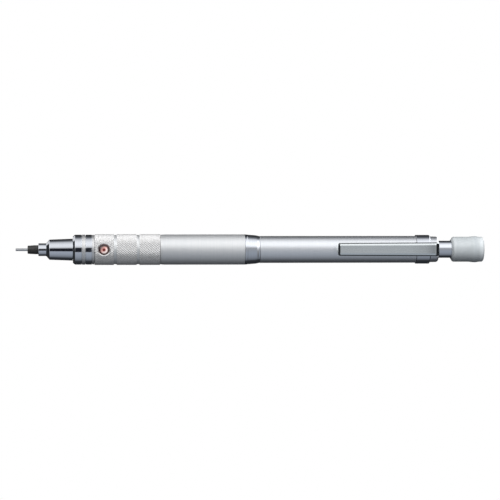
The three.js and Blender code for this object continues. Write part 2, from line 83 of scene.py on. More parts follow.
class Shader:
    """A Principled material and short ways to wire its nodes. Coordinates are in millimetres."""

    def __init__(self, name):
        self.material = bpy.data.materials.new(name)
        self.material.use_nodes = True
        self.tree = self.material.node_tree
        self.bsdf = self.tree.nodes["Principled BSDF"]
        place = self.tree.nodes.new("ShaderNodeTexCoord")
        self.position = place.outputs["Object"]

    def link(self, source, target):
        self.tree.links.new(source, target)

    def set(self, **values):
        for key, value in values.items():
            self.bsdf.inputs[key.replace("_", " ")].default_value = value

    def scaled(self, x, y, z):
        node = self.tree.nodes.new("ShaderNodeMapping")
        node.inputs["Scale"].default_value = (x / MM, y / MM, z / MM)
        self.link(self.position, node.inputs["Vector"])
        return node.outputs["Vector"]

    def noise(self, vector, detail=3.0, roughness=0.6):
        node = self.tree.nodes.new("ShaderNodeTexNoise")
        node.inputs["Scale"].default_value = 1.0
        node.inputs["Detail"].default_value = detail
        node.inputs["Roughness"].default_value = roughness
        self.link(vector, node.inputs["Vector"])
        return node.outputs["Fac"]

    def ramp(self, factor, stops):
        node = self.tree.nodes.new("ShaderNodeValToRGB")
        elements = node.color_ramp.elements
        while len(elements) < len(stops):
            elements.new(0.5)
        for element, (place, color) in zip(elements, stops):
            element.position = place
            element.color = (*color, 1.0)
        self.link(factor, node.inputs["Fac"])
        return node.outputs["Color"]

    def between(self, factor, low, high):
        node = self.tree.nodes.new("ShaderNodeMapRange")
        node.inputs["To Min"].default_value = low
        node.inputs["To Max"].default_value = high
        self.link(factor, node.inputs["Value"])
        return node.outputs["Result"]

    def math(self, operation, first, second=None):
        node = self.tree.nodes.new("ShaderNodeMath")
        node.operation = operation
        for socket, value in zip(node.inputs, (first, second)):
            if value is None:
                continue
            if isinstance(value, (int, float)):
                socket.default_value = value
            else:
                self.link(value, socket)
        return node.outputs["Value"]

    def multiply(self, first, second):
        """The product of two colours."""
        node = self.tree.nodes.new("ShaderNodeMix")
        node.data_type = "RGBA"
        node.blend_type = "MULTIPLY"
        node.inputs[0].default_value = 1.0
        self.link(first, node.inputs[6])
        self.link(second, node.inputs[7])
        return node.outputs[2]

    def split(self, vector):
        """A node whose outputs are the vector's X, Y and Z."""
        node = self.tree.nodes.new("ShaderNodeSeparateXYZ")
        self.link(vector, node.inputs["Vector"])
        return node

    def along(self, node):
        """0 at the front of a CAD node and 1 at its rear."""
        low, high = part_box(node)
        x = self.split(self.position).outputs["X"]
        return self.math("DIVIDE", self.math("SUBTRACT", x, low.x), high.x - low.x)

    def bump(self, height, distance, strength=1.0):
        node = self.tree.nodes.new("ShaderNodeBump")
        node.inputs["Strength"].default_value = strength
        node.inputs["Distance"].default_value = distance * MM
        self.link(height, node.inputs["Height"])
        self.link(node.outputs["Normal"], self.bsdf.inputs["Normal"])

    def color(self, factor, dark, light):
        self.link(self.ramp(factor, [(0.3, dark), (0.7, light)]), self.bsdf.inputs["Base Color"])

    def roughness(self, factor, low, high):
        self.link(self.between(factor, low, high), self.bsdf.inputs["Roughness"])


def satin_aluminium(name, dark, light, rough_low, rough_high):
    """Bead-blasted and anodised: a very fine grain with faint turning marks under it."""
    s = Shader(name)
    s.set(Metallic=1.0)
    grain = s.noise(s.scaled(14, 14, 14), detail=4.0)
    turning = s.noise(s.scaled(7, 0.15, 0.15), detail=2.0)
    s.color(turning, dark, light)
    s.roughness(grain, rough_low, rough_high)
    s.bump(s.math("ADD", grain, s.math("MULTIPLY", turning, 0.5)), 0.004, 0.35)
    return s.material


def polished_metal(name, dark, light, rough):
    """Bright plating with the fine rings that turning leaves."""
    s = Shader(name)
    s.set(Metallic=1.0)
    rings = s.noise(s.scaled(9, 0.12, 0.12), detail=3.0)
    smear = s.noise(s.scaled(0.5, 0.5, 0.5), detail=2.0)
    s.color(rings, dark, light)
    s.roughness(smear, rough * 0.7, rough * 1.3)
    s.bump(rings, 0.0012, 0.3)
    return s.material


WHITE, BLACK = (1.0, 1.0, 1.0), (0.0, 0.0, 0.0)
POLISHED = (0.3, 0.3, 0.3)  # the share of the roughness that polishing leaves
# Half the width of the clip's top, in mm: the painted shade near the rear bend covers only this.
CLIP_TOP_HALF = 1.3


def brushed_steel(name, dark, light, along, across):
    """Steel brushed along X and polished at both ends. Its top is darkened with painted shade towards the
    bend of the clip.
    """
    s = Shader(name)
    s.set(Metallic=1.0)
    lines = s.noise(s.scaled(0.12, 16, 16), detail=4.0)
    # Painted shade: the top's base colour darkens by up to a third towards the rear bend, standing for the
    # light the bending surface loses.
    bend = s.ramp(s.along("clip"), [
        (0.7, BLACK), (0.86, (0.35, 0.35, 0.35)), (0.93, WHITE),
    ])
    sideways = s.math("ABSOLUTE", s.split(s.position).outputs["Y"])
    top = s.math("LESS_THAN", sideways, CLIP_TOP_HALF * MM)
    bend_shade = s.math("MULTIPLY", s.math("MULTIPLY", bend, top), 0.33)
    bend_shade_tint = s.ramp(bend_shade, [(0.0, WHITE), (1.0, BLACK)])
    s.link(s.multiply(s.ramp(lines, [(0.3, dark), (0.7, light)]), bend_shade_tint), s.bsdf.inputs["Base Color"])
    ends = s.ramp(s.along("clip"), [
        (0.0, POLISHED), (0.018, POLISHED), (0.022, WHITE), (0.955, WHITE), (0.962, POLISHED),
    ])
    s.link(s.math("MULTIPLY", s.between(lines, along, across), ends), s.bsdf.inputs["Roughness"])
    s.bump(lines, 0.004, 0.4)
    return s.material


def moulded_plastic(name, dark, light, rough, grain_scale=9.0, depth=0.01):
    """Plastic from a textured mould."""
    s = Shader(name)
    grain = s.noise(s.scaled(grain_scale, grain_scale, grain_scale), detail=4.0)
    cloud = s.noise(s.scaled(0.4, 0.4, 0.4), detail=2.0)
    s.color(cloud, dark, light)
    s.roughness(grain, rough * 0.85, rough * 1.15)
    s.bump(grain, depth, 0.5)
    return s.material


def frosted_plastic(name):
    """Milky plastic. Faint bands stand for its walls showing through where they are thick; its rear end is
    painted lighter, partly its thick end wall and partly a painted highlight where the rounded end gets less
    light.
    """
    s = Shader(name)
    cloud = s.noise(s.scaled(0.5, 0.5, 0.5), detail=2.0)
    grain = s.noise(s.scaled(10, 10, 10), detail=3.0)
    # Colour along the cap: darker at the mouth, faint wall bands, and a painted highlight towards the rear
    # end.
    walls_and_lit_end = s.ramp(s.along("push_cap"), [
        (0.00, (0.62, 0.63, 0.63)), (0.06, (0.74, 0.75, 0.75)), (0.10, (0.80, 0.80, 0.80)),
        (0.14, (0.73, 0.74, 0.74)), (0.62, (0.73, 0.74, 0.74)), (0.67, (0.78, 0.79, 0.79)),
        (0.72, (0.72, 0.735, 0.745)), (0.82, (0.78, 0.79, 0.79)), (0.89, (0.94, 0.95, 0.95)),
        (0.93, WHITE), (0.98, (0.9, 0.91, 0.91)),
    ])
    milk = s.ramp(cloud, [(0.3, (0.58, 0.61, 0.625)), (0.7, (0.63, 0.66, 0.675))])
    s.link(s.multiply(milk, walls_and_lit_end), s.bsdf.inputs["Base Color"])
    s.roughness(grain, 0.3, 0.42)
    s.bump(grain, 0.004, 0.3)
    s.set(Coat_Weight=0.5, Coat_Roughness=0.25, IOR=1.49)
    return s.material


def window_resin(name, centre):
    """A clear lens over a printed ring and dot, with painted shade in the hole round them. A painted
    highlight brightens the side away from the lamp, where the lens would gather its light.
    """
    s = Shader(name)
    local = s.tree.nodes.new("ShaderNodeVectorMath")
    local.operation = "SUBTRACT"
    s.link(s.position, local.inputs[0])
    local.inputs[1].default_value = (centre.x, centre.y, centre.z)
    split = s.split(local.outputs["Vector"])
    x = s.math("DIVIDE", split.outputs["X"], LENS_R * MM)
    y = s.math("DIVIDE", split.outputs["Y"], LENS_R * MM)
    swirl = s.noise(s.scaled(2.5, 2.5, 2.5), detail=2.0)
    right = s.math("SUBTRACT", x, 0.02)
    low = s.math("ADD", y, 0.06)
    away = s.math("SQRT", s.math("ADD", s.math("MULTIPLY", right, right), s.math("MULTIPLY", low, low)))
    away = s.math("ADD", away, s.math("MULTIPLY", s.math("SUBTRACT", swirl, 0.5), 0.08))
    # Painted highlight: the lens is lighter towards its lower right, where it would focus the lamp's light.
    painted_glow = s.math("ADD", s.math("MULTIPLY", s.math("SUBTRACT", x, s.math("MULTIPLY", y, 1.2)), 0.4), 0.5)
    pink = s.ramp(painted_glow, [(0.2, (0.3, 0.15, 0.13)), (0.5, (0.8, 0.43, 0.39)), (0.75, (1.0, 0.82, 0.78))])
    # The dark red dot and the pale ring are a printed mark; the dark band round them is painted shade in the
    # hole, with a lighter edge.
    rings = s.ramp(away, [
        (0.08, (0.12, 0.016, 0.012)), (0.24, (0.3, 0.08, 0.07)), (0.36, WHITE), (0.6, WHITE),
        (0.71, (0.07, 0.036, 0.03)), (0.96, (0.05, 0.026, 0.022)), (1.0, (0.3, 0.2, 0.18)),
    ])
    s.link(s.multiply(rings, pink), s.bsdf.inputs["Base Color"])
    s.roughness(swirl, 0.18, 0.3)
    s.set(Coat_Weight=0.5, Coat_Roughness=0.08, IOR=1.5)
    return s.material


def turned_brass(name):
    """Brass with fine turning rings."""
    s = Shader(name)
    s.set(Metallic=1.0)
    rings = s.noise(s.scaled(8, 0.2, 0.2))
    s.color(rings, (0.55, 0.38, 0.15), (0.72, 0.54, 0.26))
    s.roughness(rings, 0.22, 0.4)
    s.bump(rings, 0.003, 0.4)
    return s.material


def graphite(name):
    """The dull sheen of a pencil lead."""
    s = Shader(name)
    grain = s.noise(s.scaled(20, 20, 20))
    s.color(grain, (0.03, 0.03, 0.033), (0.075, 0.075, 0.08))
    s.roughness(grain, 0.3, 0.5)
    s.bump(grain, 0.002, 0.4)
    return s.material


# Every material: its maker, and what the maker takes after the name.
LOOKS = {
    "steel": (polished_metal, (0.66, 0.67, 0.69), (0.78, 0.79, 0.80), 0.16),
    "black_tip": (moulded_plastic, (0.018, 0.018, 0.017), (0.03, 0.03, 0.028), 0.42, 6.0, 0.02),
    "rubber": (moulded_plastic, (0.02, 0.02, 0.02), (0.04, 0.04, 0.04), 0.8),
    "polished_plating": (polished_metal, (0.78, 0.80, 0.85), (0.85, 0.87, 0.91), 0.07),
    "knurled_aluminium": (satin_aluminium, (0.86, 0.85, 0.84), (0.94, 0.93, 0.92), 0.42, 0.54),
    "satin_aluminium": (satin_aluminium, (0.9, 0.91, 0.91), (0.96, 0.96, 0.96), 0.52, 0.6),
    "fine_satin": (satin_aluminium, (0.9, 0.92, 0.95), (0.96, 0.97, 0.99), 0.38, 0.44),
    "clear_lens": (window_resin, sum(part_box("window_lens"), Vector()) / 2),
    "white_plastic": (moulded_plastic, (0.72, 0.72, 0.70), (0.82, 0.82, 0.80), 0.45),
    "orange_plastic": (moulded_plastic, (0.55, 0.09, 0.03), (0.70, 0.14, 0.05), 0.35),
    "spring_steel": (polished_metal, (0.5, 0.5, 0.52), (0.66, 0.66, 0.68), 0.2),
    "brass": (turned_brass,),
    "black_plastic": (moulded_plastic, (0.02, 0.02, 0.022), (0.035, 0.035, 0.038), 0.45),
    "graphite": (graphite,),
    "clip_steel": (brushed_steel, (0.84, 0.88, 0.88), (0.92, 0.96, 0.96), 0.25, 0.3),
    "eraser_white": (moulded_plastic, (0.80, 0.80, 0.78), (0.88, 0.88, 0.86), 0.75, 5.0, 0.02),
    "frosted_plastic": (frosted_plastic,),
}
MATERIALS = {name: maker(name, *looks) for name, (maker, *looks) in LOOKS.items()}


# ---------------------------------------------------------------- mesh tools

def put(name, data):
    """A new object in the scene."""
    made = bpy.data.objects.new(name, data)
    bpy.context.scene.collection.objects.link(made)
    return made


def closed_mesh(bm, name):
    """Turns a finished bmesh into a mesh with its faces outwards."""
    bmesh.ops.recalc_face_normals(bm, faces=bm.faces)
    mesh = bpy.data.meshes.new(name)
    bm.to_mesh(mesh)
    bm.free()
    return mesh


def join_rings(bm, first, second):
    """Closes the strip of faces between two equal rings of points."""
    count = len(first)
    for j in range(count):
        k = (j + 1) % count
        bm.faces.new((first[j], first[k], second[k], second[j]))


def add_piece(name, mesh, node, body, smooth_angle=35.0):
    """Puts a finished mesh in the scene, in place of a CAD node, on a CAD body."""
    piece = put(name, mesh)
    mesh.materials.clear()
    mesh.materials.append(MATERIALS[FINISH_OF.get(node, SLOT_OF[node])])
    if smooth_angle:
        mesh.shade_smooth()
        mesh.set_sharp_from_angle(angle=math.radians(smooth_angle))
    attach(piece, body)
    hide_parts(node)
    return piece


def soften(profile, steps=4):
    """Rounds every corner of a closed profile that has a third number, the fillet's size."""
    points = []
    count = len(profile)
    for i, corner in enumerate(profile):
        here = Vector(corner[:2])
        size = corner[2] if len(corner) > 2 else 0.0
        if size <= 0.0:
            points.append(here)
            continue
        before, after = Vector(profile[i - 1][:2]), Vector(profile[(i + 1) % count][:2])
        back, ahead = before - here, after - here
        size = min(size, back.length * 0.45, ahead.length * 0.45)
        start = here + back.normalized() * size
        end = here + ahead.normalized() * size
        for k in range(steps + 1):
            t = k / steps
            points.append(start * (1 - t) ** 2 + here * 2 * t * (1 - t) + end * t * t)
    return points


def support(points, width=0.04):
    """Adds a point close to each end of every long side, so that smooth shading stays flat between them."""
    result = []
    for i, here in enumerate(points):
        after = points[(i + 1) % len(points)]
        result.append(here)
        side = after - here
        if side.length > width * 5:
            result.append(here + side.normalized() * width)
            result.append(after - side.normalized() * width)
    return result


def ring_mesh(name, loop, origin_x, segments):
    """Revolves a closed loop of (offset in mm, radius in mm) points about the pencil's axis."""
    bm = bmesh.new()
    rows = []
    for i in range(segments):
        angle = 2 * math.pi * i / segments
        c, s = math.cos(angle), math.sin(angle)
        rows.append([
            bm.verts.new((origin_x + p.x * MM, p.y * s * MM, AXIS_Z + p.y * c * MM)) for p in loop
        ])
    for i in range(segments):
        join_rings(bm, rows[i], rows[(i + 1) % segments])
    bmesh.ops.remove_doubles(bm, verts=bm.verts, dist=1e-8)
    return closed_mesh(bm, name)


def turned(name, node, body, outer, inner, segments=96):
    """A hollow turned piece. Its first outer station sits at the CAD node's front."""
    loop = support(soften(list(outer) + list(reversed(inner))))
    first = min(p[0] for p in outer)
    loop = [Vector((p.x - first, p.y)) for p in loop]
    return add_piece(name, ring_mesh(name, loop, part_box(node)[0].x, segments), node, body)


# ---------------------------------------------------------------- turned pieces

# name: (CAD body, outer wall, inner wall, segments). Both walls run from front to rear.
TURNED = {
    "lead_sleeve": ("tip", [(0, 0.40, 0.06), (9.5, 0.40)], [(0, 0.31, 0.03), (9.5, 0.31)], 48),
    "lead_retainer": ("tip", [(9.75, 0.95, 0.05), (10.9, 0.95, 0.05)], [(9.75, 0.30), (10.9, 0.30)], 48),
    "nose_cone": (
        "nose",
        [
            (7, 1.95, 0.12), (9.4, 1.95, 0.04), (10.4, 3.1, 0.1), (17.55, 3.37, 0.06),
            (17.55, 2.9), (23.6, 2.9, 0.2),
        ],
        [(7, 1.5, 0.05), (10.6, 1.5), (10.6, 2.35), (23.6, 2.35)],
        128,
    ),
    "front_barrel": (
        "barrel",
        [(44.45, 4.5, 0.03), (45.0, 4.6, 0.3), (45.6, 4.65, 0.3), (70.3, 4.65, 0.06)],
        [(44.45, 3.75), (70.3, 3.75)],
        128,
    ),
    "joint_ring": (
        "barrel",
        [
            (64, 3.7, 0.1), (70.35, 3.7), (70.35, 4.65, 0.05), (71.1, 4.6, 0.03), (71.15, 4.56),
            (73.8, 4.36, 0.5), (74.6, 4.17, 0.3), (74.95, 4.13, 0.08), (74.95, 3.55), (82, 3.55, 0.1),
        ],
        [(64, 2.85), (82, 2.85)],
        128,
    ),
    "rear_barrel": ("barrel", [(75, 4.14, 0.12), (122.83, 4.11, 0.06)], [(75, 3.6), (122.83, 3.6)], 128),
    "clip_band": ("barrel", [(122.88, 4.41, 0.12), (127.1, 4.41, 0.3)], [(122.88, 3.6), (127.1, 3.6)], 128),
    "tail_plug": (
        "barrel",
        [(116, 3.55, 0.1), (127.15, 3.55), (127.15, 3.96, 0.06), (129.3, 3.9, 0.2), (129.7, 3.6, 0.2)],
        [(116, 2.75), (129.7, 2.75, 0.1)],
        128,
    ),
    "button_tube": (
        "button",
        [(118, 2.62, 0.05), (140.4, 2.62, 0.15)],
        [(118, 2.35), (140.4, 2.35, 0.05)],
        96,
    ),
    "lead_tank": ("button", [(49.25, 2.3, 0.05), (132, 2.3, 0.1)], [(49.25, 1.9), (132, 1.9)], 64),
    "tank_joint": (
        "button",
        [(48, 2.6, 0.1), (49.2, 2.6, 0.1), (49.2, 1.85), (57, 1.85, 0.1)],
        [(48, 1.08), (52.9, 1.08), (52.9, 1.42), (57, 1.42)],
        64,
    ),
    "cushion_slider": (
        "cushion",
        [(30.9, 2.8, 0.1), (33, 2.8, 0.1), (33, 1.9), (34.2, 1.9, 0.1)],
        [(30.9, 1.2), (34.2, 1.2)],
        64,
    ),
    "chuck_ring": ("chuck_ring", [(15, 2.1, 0.12), (17, 2.1, 0.12)], [(15, 1.56, 0.05), (17, 1.56)], 64),
}


def cut(piece, solid):
    """Cuts a closed mesh out of a piece, and keeps the result as plain mesh."""
    cutter = put(solid.name, solid)
    modifier = piece.modifiers.new("cut", "BOOLEAN")
    modifier.operation = "DIFFERENCE"
    modifier.solver = "EXACT"
    modifier.object = cutter
    depsgraph = bpy.context.evaluated_depsgraph_get()
    result = bpy.data.meshes.new_from_object(piece.evaluated_get(depsgraph))
    piece.modifiers.clear()
    piece.data = result
    bpy.data.objects.remove(cutter)


# The cut for the clip's tab: its depth from the plug's rear, and the cutter's size and height.
TAB_SLOT = {"depth": 0.55, "size": (2.0, 4.6, 3.0), "height": 4.1}


def cut_tab_slot(plug):
    """Opens the plug's rear end for the clip's tab."""
    length, width, tall = (side * MM for side in TAB_SLOT["size"])
    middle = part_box("tail_plug")[1].x - TAB_SLOT["depth"] * MM + length / 2
    bm = bmesh.new()
    bmesh.ops.create_cube(bm, size=1.0)
    bmesh.ops.scale(bm, vec=(length, width, tall), verts=bm.verts)
    bmesh.ops.translate(bm, vec=(middle, 0, AXIS_Z + TAB_SLOT["height"] * MM), verts=bm.verts)
    cut(plug, closed_mesh(bm, "tab_slot"))


def build_turned():
    """Every piece of the table, and the slot in the tail plug."""
    for node, (body, outer, inner, segments) in TURNED.items():
        piece = turned(node + "_fine", node, body, outer, inner, segments)
        if node == "tail_plug":
            cut_tab_slot(piece)


build_turned()


# ---------------------------------------------------------------- front ring

RING_FRONT = 17.6
RING_GROOVE = 4.38
# (front, rear, radius)
RING_BANDS = [(18.26, 20.28, 4.6), (20.4, 21.45, 4.62), (21.6, 23.4, 4.6), (23.5, 24.2, 4.54)]
RING_SATIN = (1, 3)  # the bands that are satin


def build_front_ring():
    """A bevelled ring with polished and satin bands between small grooves."""
    outer = [(RING_FRONT, 4.06, 0.04)]
    for front, rear, radius in RING_BANDS:
        if len(outer) > 1:
            outer.append((front, RING_GROOVE))
        outer += [(front, radius, 0.07), (rear, radius, 0.07)]
        if rear < RING_BANDS[-1][1]:
            outer.append((rear, RING_GROOVE))
    inner = [(RING_FRONT, 3.0, 0.05), (19, 3.0), (19, 3.6), (24.2, 3.6)]
    piece = turned("front_ring_fine", "front_ring", "nose_carrier", outer, inner, 128)
    piece.data.materials.append(MATERIALS["knurled_aluminium"])
    x0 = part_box("front_ring")[0].x
    satin = [(RING_BANDS[i][0] - RING_FRONT, RING_BANDS[i][1] - RING_FRONT) for i in RING_SATIN]
    for face in piece.data.polygons:
        middle = (face.center.x - x0) / MM
        radius = math.hypot(face.center.y, face.center.z - AXIS_Z) / MM
        if radius > RING_GROOVE and any(front - 0.02 <= middle <= rear + 0.02 for front, rear in satin):
            face.material_index = 1


build_front_ring()


# ---------------------------------------------------------------- tip

TIP_FRONT = 3.66
TIP_MESH_STEP = 0.12
TIP_TEXTURED = {"inner_r": 0.9, "length": 3.3, "relief": 0.05}


def build_tip():
    """The black tip, with the fine uneven texture of its mould in the mesh."""
    outer = [(TIP_FRONT, 1.28, 0.3), (7, 1.42), (10.65, 1.42), (10.65, 2.2, 0.05), (11, 2.2, 0.05)]
    inner = [(TIP_FRONT, 0.45, 0.05), (9.7, 0.45), (9.7, 1.0), (11, 1.0)]
    loop = soften(outer + inner[::-1], 5)
    dense = []
    for i, here in enumerate(loop):
        after = loop[(i + 1) % len(loop)]
        pieces = max(1, round((after - here).length / TIP_MESH_STEP))
        dense += [here.lerp(after, k / pieces) for k in range(pieces)]
    dense = [Vector((p.x - TIP_FRONT, p.y)) for p in dense]
    x0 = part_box("tip_slider")[0].x
    mesh = ring_mesh("tip_slider_fine", dense, x0, 80)
    for vertex in mesh.vertices:
        out = Vector((0, vertex.co.y, vertex.co.z - AXIS_Z))
        station = (vertex.co.x - x0) / MM
        if out.length < TIP_TEXTURED["inner_r"] * MM or station > TIP_TEXTURED["length"]:
            continue
        grain = noise.noise(vertex.co / MM * 2.6) + 0.6 * noise.noise(vertex.co / MM * 6.0)
        vertex.co += out.normalized() * (grain - 0.5) * TIP_TEXTURED["relief"] * MM
    add_piece("tip_slider_fine", mesh, "tip_slider", "tip", 80)


build_tip()


# ---------------------------------------------------------------- knurled grip

GRIP = {"front": 24.26, "rear": 44.4, "r": 4.735, "bore": 3.75}
GRIP_GROOVES = [(30.2, 31.0), (37.25, 38.0)]
GROOVE_R = 4.49
GROOVE_SIDE = 0.1  # length of each sloping side
PLAIN_END = 0.14  # the knurl stops this far from either end
END_CHAMFER = 0.04
KNURL_AROUND = 42  # diamonds round the grip
KNURL_PITCH = 0.82
KNURL_STEPS = 8  # mesh cells to a diamond
KNURL_DEPTH = 0.125
KNURL_GAIN = 1.25  # more than 1 leaves a small flat on every diamond
WINDOW_X = 27.1
WINDOW_R = 1.66
WINDOW_RIM = 2.0  # outer radius of the countersink
WINDOW_RIM_DROP = 0.3
WINDOW_DRILL = (3.0, 5.5)  # heights above the axis


def triangle(value):
    """0 on whole numbers, 1 half way between them."""
    return 1 - abs(2 * (value - math.floor(value)) - 1)


def grip_base(station):
    """The grip's radius without its knurl, and how much of the knurl shows."""
    for front, rear in GRIP_GROOVES:
        if front - GROOVE_SIDE < station < rear + GROOVE_SIDE:
            inside = min(station - front + GROOVE_SIDE, rear + GROOVE_SIDE - station)
            depth = min(1.0, inside / GROOVE_SIDE)
            return GRIP["r"] - depth * (GRIP["r"] - GROOVE_R), 0.0
    end = min(station - GRIP["front"], GRIP["rear"] - station)
    if end < PLAIN_END:
        return GRIP["r"] - max(0.0, END_CHAMFER - end), 0.0
    return GRIP["r"], 1.0


def window_rim(station, angle):
    """0 away from the window, rising to 1 at the edge of its hole."""
    if math.cos(angle) < 0:
        return 0.0
    away = math.hypot(station - WINDOW_X, GRIP["r"] * math.sin(angle))
    return min(1.0, max(0.0, (WINDOW_RIM - away) / (WINDOW_RIM - WINDOW_R)))


def grip_stations():
    """Rows for the knurl, with rows of their own at every groove and end."""
    marks = [GRIP["front"], GRIP["front"] + END_CHAMFER, GRIP["front"] + PLAIN_END]
    for front, rear in GRIP_GROOVES:
        marks += [front - GROOVE_SIDE, front - GROOVE_SIDE * 0.5, front - 0.01, front + 0.04]
        marks += [rear - 0.04, rear + 0.01, rear + GROOVE_SIDE * 0.5, rear + GROOVE_SIDE]
    marks += [GRIP["rear"] - PLAIN_END, GRIP["rear"] - END_CHAMFER, GRIP["rear"]]
    step = KNURL_PITCH / KNURL_STEPS
    count = int((GRIP["rear"] - GRIP["front"]) / step)
    rows = [GRIP["front"] + i * step for i in range(count + 1)]
    rows = [x for x in rows if grip_base(x)[1] > 0 and min(abs(x - m) for m in marks) > step * 0.4]
    return sorted(rows + marks)


def build_grip():
    """The grip with its diamond knurl cut into the mesh, two plain grooves and the window hole."""
    segments = KNURL_AROUND * KNURL_STEPS
    stations = grip_stations()
    x0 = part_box("grip_sleeve")[0].x - GRIP["front"] * MM
    bm = bmesh.new()
    grid, values = [], []
    for station in stations:
        base, share = grip_base(station)
        row, marks = [], []
        for i in range(segments):
            turn = i / KNURL_STEPS
            a = (station - GRIP["front"]) / KNURL_PITCH + turn
            b = (station - GRIP["front"]) / KNURL_PITCH - turn
            height = min(1.0, min(triangle(a), triangle(b)) * KNURL_GAIN)
            angle = 2 * math.pi * i / segments
            rim = window_rim(station, angle)
            knurl = 0.0 if rim > 0 else share * KNURL_DEPTH * (1 - height)
            radius = base - knurl - WINDOW_RIM_DROP * rim
            row.append(bm.verts.new((
                x0 + station * MM, radius * MM * math.sin(angle), AXIS_Z + radius * MM * math.cos(angle)
            )))
            marks.append((a, b))
        grid.append(row)
        values.append(marks)
    for j in range(len(stations) - 1):
        for i in range(segments):
            n = (i + 1) % segments
            p, q, r, s = grid[j][i], grid[j][n], grid[j + 1][n], grid[j + 1][i]
            a_middle = (values[j][i][0] + values[j + 1][i][0]) / 2 + 0.5 / KNURL_STEPS
            along_a = triangle(a_middle) < triangle(a_middle - 2 * (i + 0.5) / KNURL_STEPS)
            if along_a:
                bm.faces.new((q, p, s))
                bm.faces.new((q, s, r))
            else:
                bm.faces.new((p, r, q))
                bm.faces.new((p, s, r))
    bores = []
    for station in (GRIP["front"], GRIP["rear"]):
        bores.append([bm.verts.new((
            x0 + station * MM,
            GRIP["bore"] * MM * math.sin(2 * math.pi * i / segments),
            AXIS_Z + GRIP["bore"] * MM * math.cos(2 * math.pi * i / segments),
        )) for i in range(segments)])
    for i in range(segments):
        n = (i + 1) % segments
        bm.faces.new((grid[0][i], grid[0][n], bores[0][n], bores[0][i]))
        bm.faces.new((bores[1][i], bores[1][n], grid[-1][n], grid[-1][i]))
        bm.faces.new((bores[0][i], bores[0][n], bores[1][n], bores[1][i]))
    grip = add_piece("grip_sleeve_fine", closed_mesh(bm, "grip_sleeve_fine"), "grip_sleeve", "barrel", 0)
    grip.data.materials.append(MATERIALS["satin_aluminium"])
    cut_window(grip, x0)
    for face in grip.data.polygons:
        radius = math.hypot(face.center.y, face.center.z - AXIS_Z) / MM
        station = (face.center.x - x0) / MM
        away = math.hypot(station - WINDOW_X, face.center.y / MM) if face.center.z > AXIS_Z else 99.0
        plain = grip_base(station)[1] == 0.0 or away < WINDOW_RIM
        face.use_smooth = plain or radius < GRIP["r"] - KNURL_DEPTH * 1.2
        if any(front - GROOVE_SIDE < station < rear + GROOVE_SIDE for front, rear in GRIP_GROOVES):
            face.material_index = 1
    grip.data.set_sharp_from_angle(angle=math.radians(30))


def cut_window(grip, x0):
    """Drills the window hole. Its countersunk edge is already in the grip's surface."""
    bm = bmesh.new()
    sides = 96
    rows = []
    for height in WINDOW_DRILL:
        rows.append([bm.verts.new((
            x0 + (WINDOW_X + WINDOW_R * math.cos(2 * math.pi * i / sides)) * MM,
            WINDOW_R * math.sin(2 * math.pi * i / sides) * MM,
            AXIS_Z + height * MM,
        )) for i in range(sides)])
    join_rings(bm, *rows)
    bm.faces.new(list(reversed(rows[0])))
    bm.faces.new(rows[-1])
    cut(grip, closed_mesh(bm, "window_cutter"))


build_grip()


# ---------------------------------------------------------------- window lens

def build_lens():
    """A domed lens with a small rim, turned about the window's own upright axis."""
    centre = sum(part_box("window_lens"), Vector()) / 2
    profile = [
        (0.0, 3.82), (1.6, 3.82), (LENS_R, 3.86), (LENS_R, 4.24), (1.6, 4.30), (1.52, 4.33), (1.45, 4.32),
        (1.37, 4.34), (1.2, 4.42), (1.0, 4.50), (0.78, 4.575), (0.5, 4.63), (0.25, 4.655), (0.0, 4.66),
    ]
    sides = 64
    bm = bmesh.new()
    rows = []
    for i in range(sides):
        angle = 2 * math.pi * i / sides
        rows.append([bm.verts.new((
            centre.x + r * MM * math.cos(angle), r * MM * math.sin(angle), AXIS_Z + height * MM
        )) for r, height in profile])
    for i in range(sides):
        a, b = rows[i], rows[(i + 1) % sides]
        for j in range(len(profile) - 1):
            bm.faces.new((a[j], b[j], b[j + 1], a[j + 1]))
    bmesh.ops.remove_doubles(bm, verts=bm.verts, dist=1e-8)
    bmesh.ops.dissolve_degenerate(bm, edges=bm.edges, dist=1e-8)
    add_piece("window_lens_fine", closed_mesh(bm, "window_lens_fine"), "window_lens", "barrel", 40)


build_lens()


# ---------------------------------------------------------------- clip

CLIP_FLAT = 0.58  # the flat's share of the width
CLIP_BEVEL = 0.2  # how much of the depth the upper bevel takes
CLIP_EDGE = 0.32  # width of the lower bevel
CLIP_UNDER = 0.05  # depth left below the lower bevel
CLIP_SUPPORT = 0.035

# The clip from front to rear: its outer face's station and height, its thickness, the share of the bevels,
# its width, and how far the section tilts from level, in degrees.
CLIP_FRONT = [
    (98.78, 4.35, 0.6, 0.8, 3.9, 78), (98.66, 4.75, 0.62, 0.8, 3.93, 76),
    (98.52, 5.2, 0.64, 0.9, 3.93, 74), (98.45, 5.55, 0.66, 0.9, 3.93, 68),
    (98.48, 5.77, 0.68, 0.95, 3.93, 58), (98.6, 5.94, 0.7, 1.0, 3.93, 48),
    (98.8, 6.11, 0.72, 1.0, 3.93, 42), (98.98, 6.265, 0.74, 1.0, 3.93, 38),
    (99.08, 6.35, 0.75, 1.0, 3.93, 34), (99.16, 6.4, 0.75, 1.0, 3.93, 30),
    (99.22, 6.4, 0.75, 1.0, 3.93, 26), (99.6, 6.4, 0.75, 1.0, 3.93, 14),
]
CLIP_STRAP = [(101.7 + 2.1 * k, 6.4, 0.75, 1.0, 3.95 + 0.02 * k, 0) for k in range(13)]
